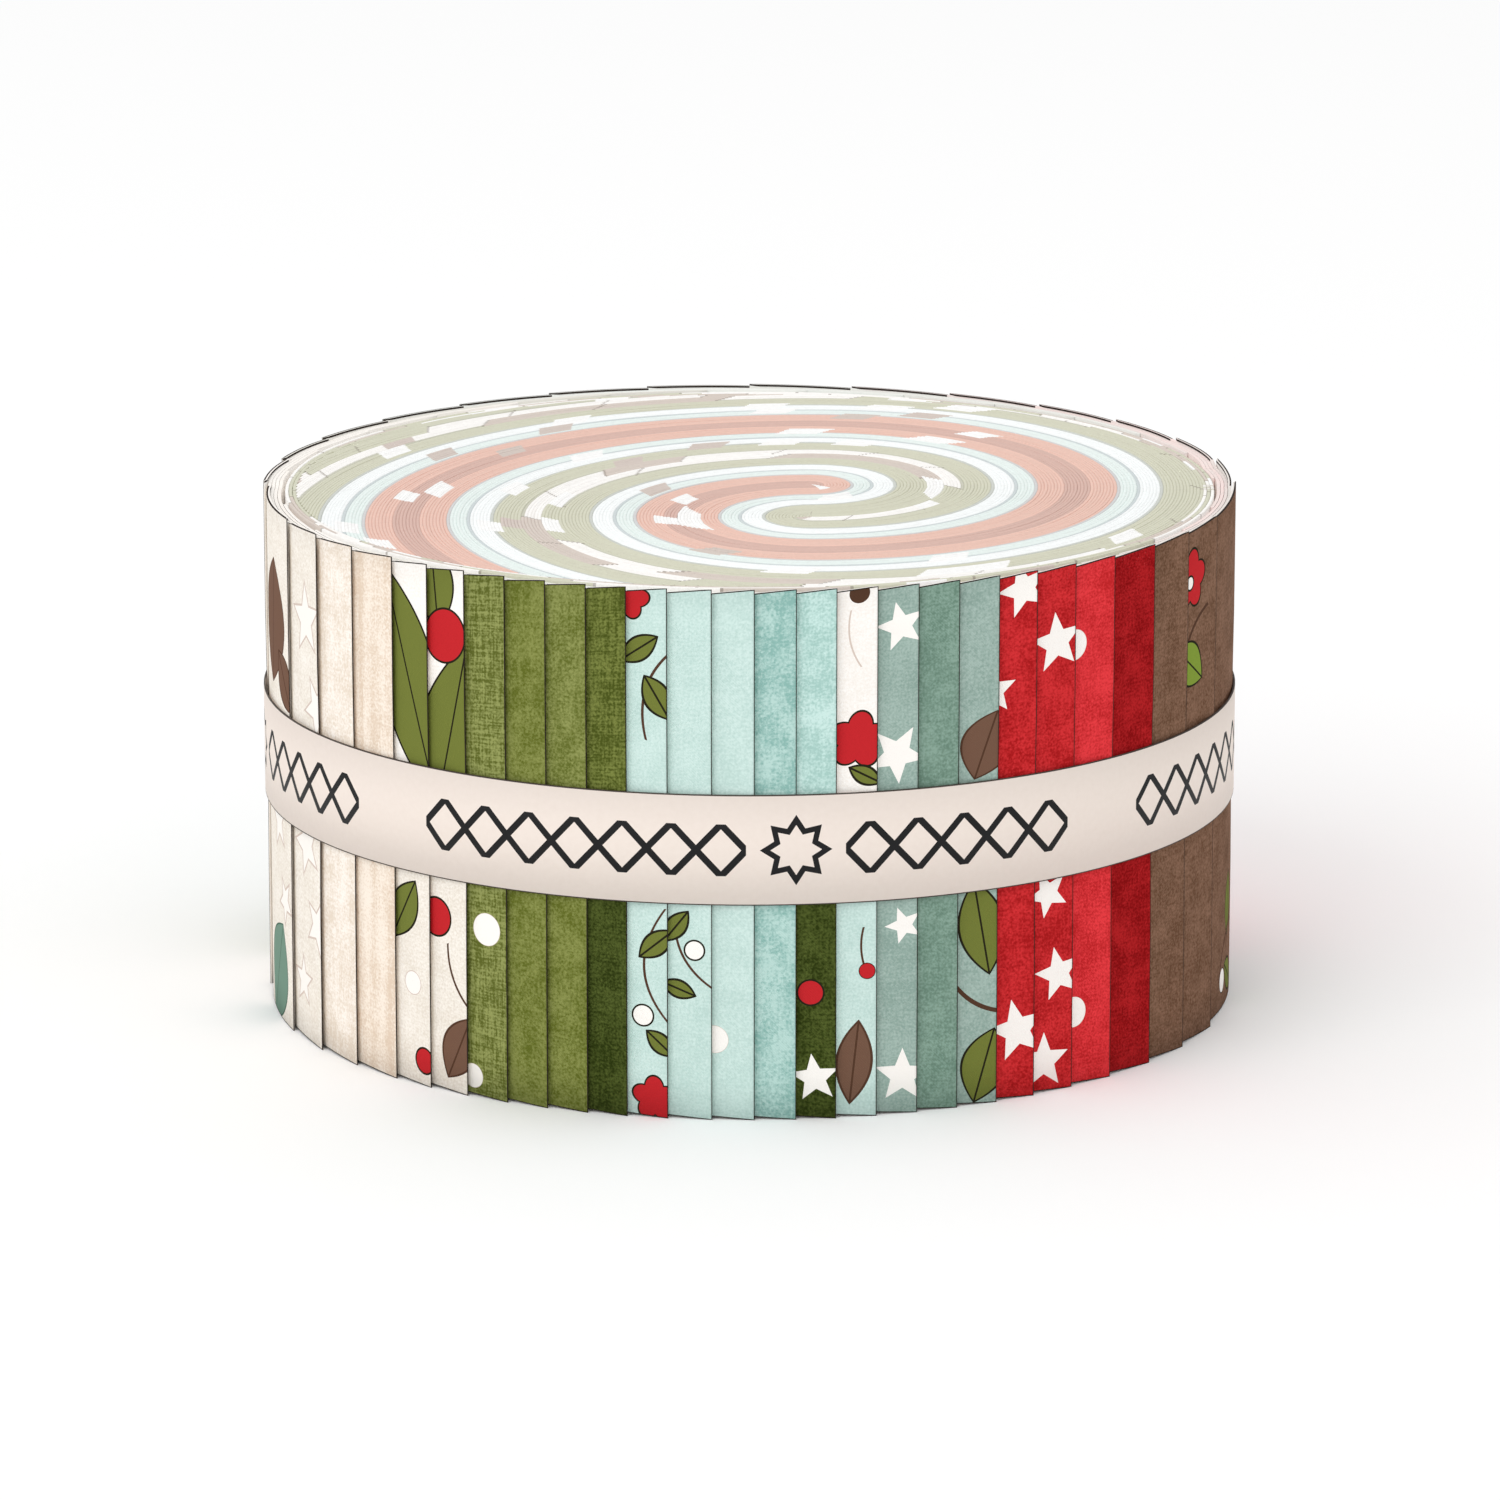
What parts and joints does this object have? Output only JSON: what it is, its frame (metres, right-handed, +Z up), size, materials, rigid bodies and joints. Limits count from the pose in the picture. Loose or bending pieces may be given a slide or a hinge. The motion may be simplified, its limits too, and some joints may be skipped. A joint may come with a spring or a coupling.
{
  "type": "jelly roll of fabric strips with belly band",
  "caption": "Round roll of stacked cotton quilting strips wound in a double spiral, their ends shingled round the outside, held by a paper belly band.",
  "frame": {"origin": "middle of the flat base that the roll stands on", "axes": "+Z up along the roll's axis, -Y towards the front with the shown strip ends, +X to the right seen from the front"},
  "size_m": [0.1208, 0.1208, 0.0635],
  "materials": {
    "cut_edges": "pale cut edges of printed cotton, matt",
    "cream_cotton": "printed quilting cotton, matt",
    "olive_cotton": "printed quilting cotton, matt",
    "aqua_cotton": "printed quilting cotton, matt",
    "sage_cotton": "printed quilting cotton, matt",
    "red_cotton": "printed quilting cotton, matt",
    "brown_cotton": "printed quilting cotton, matt",
    "band_paper": "printed cream paper, smooth and matt"
  },
  "bodies": {
    "root": {"wound_stack": "cut_edges", "strip_01_cream": "cream_cotton", "strip_02_cream": "cream_cotton", "strip_03_cream": "cream_cotton", "strip_04_cream": "cream_cotton", "strip_05_olive": "olive_cotton", "strip_06_olive": "olive_cotton", "strip_07_olive": "olive_cotton", "strip_08_olive": "olive_cotton", "strip_09_olive": "olive_cotton", "strip_10_olive": "olive_cotton", "strip_11_aqua": "aqua_cotton", "strip_12_aqua": "aqua_cotton", "strip_13_aqua": "aqua_cotton", "strip_14_aqua": "aqua_cotton", "strip_15_aqua": "aqua_cotton", "strip_16_cream": "cream_cotton", "strip_17_sage": "sage_cotton", "strip_18_sage": "sage_cotton", "strip_19_sage": "sage_cotton", "strip_20_red": "red_cotton", "strip_21_red": "red_cotton", "strip_22_red": "red_cotton", "strip_23_red": "red_cotton", "strip_24_brown": "brown_cotton", "strip_25_brown": "brown_cotton", "strip_26_brown": "brown_cotton", "strip_27_brown": "brown_cotton", "strip_28_red": "red_cotton", "strip_29_red": "red_cotton", "strip_30_red": "red_cotton", "strip_31_red": "red_cotton", "strip_32_red": "red_cotton", "strip_33_sage": "sage_cotton", "strip_34_sage": "sage_cotton", "strip_35_sage": "sage_cotton", "strip_36_aqua": "aqua_cotton", "strip_37_aqua": "aqua_cotton", "strip_38_olive": "olive_cotton", "strip_39_olive": "olive_cotton", "strip_40_cream": "cream_cotton", "belly_band": "band_paper"}
  },
  "joints": []
}
